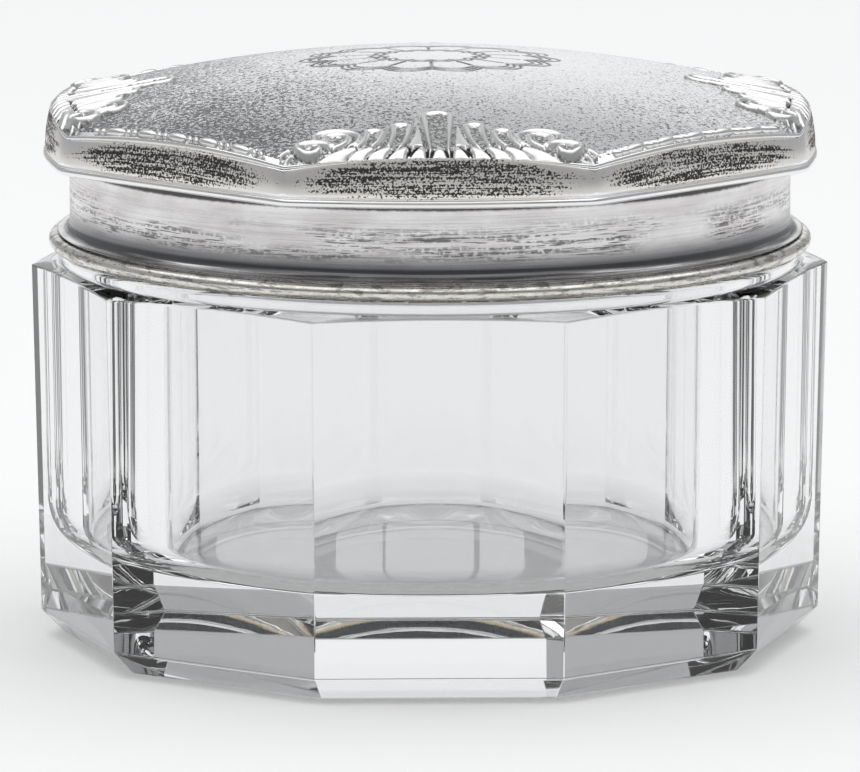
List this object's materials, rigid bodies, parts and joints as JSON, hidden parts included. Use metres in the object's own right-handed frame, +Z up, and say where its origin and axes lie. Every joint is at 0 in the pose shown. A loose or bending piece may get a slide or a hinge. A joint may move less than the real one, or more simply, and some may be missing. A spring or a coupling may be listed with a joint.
{
  "type": "powder jar",
  "caption": "Dresser powder jar: ten-sided cut-glass body with a lift-off silver lid that has shell ornament and a deep skirt.",
  "frame": {"origin": "centre of the glass base, on the surface that the jar stands on", "axes": "+Z up through the lid's top; -Y is the front, square to one flat side of the glass and one shell; +X to the right"},
  "size_m": [0.114, 0.1104, 0.0836],
  "materials": {
    "lead_crystal": "clear polished cut lead crystal",
    "lid_silver": "polished silver with a fine dark patina",
    "ornament_silver": "polished silver relief with dark hollows",
    "skirt_silver": "polished silver with scratches round it",
    "bead_silver": "softly worn silver",
    "inner_silver": "dull silver"
  },
  "bodies": {
    "jar": {"glass_body": "lead_crystal"},
    "lid": {"lid_dome": "lid_silver", "lid_rim_plate": "inner_silver", "lid_skirt": "skirt_silver", "skirt_bead": "bead_silver", "shell_front": "ornament_silver", "shell_right": "ornament_silver", "shell_back": "ornament_silver", "shell_left": "ornament_silver", "reed_border_front_right": "ornament_silver", "reed_border_back_right": "ornament_silver", "reed_border_back_left": "ornament_silver", "reed_border_front_left": "ornament_silver"}
  },
  "joints": [
    {"name": "lid_lift", "type": "slide", "parent": "jar", "child": "lid", "axis": [0, 0, 1], "range_m": [0, 0.06]}
  ]
}
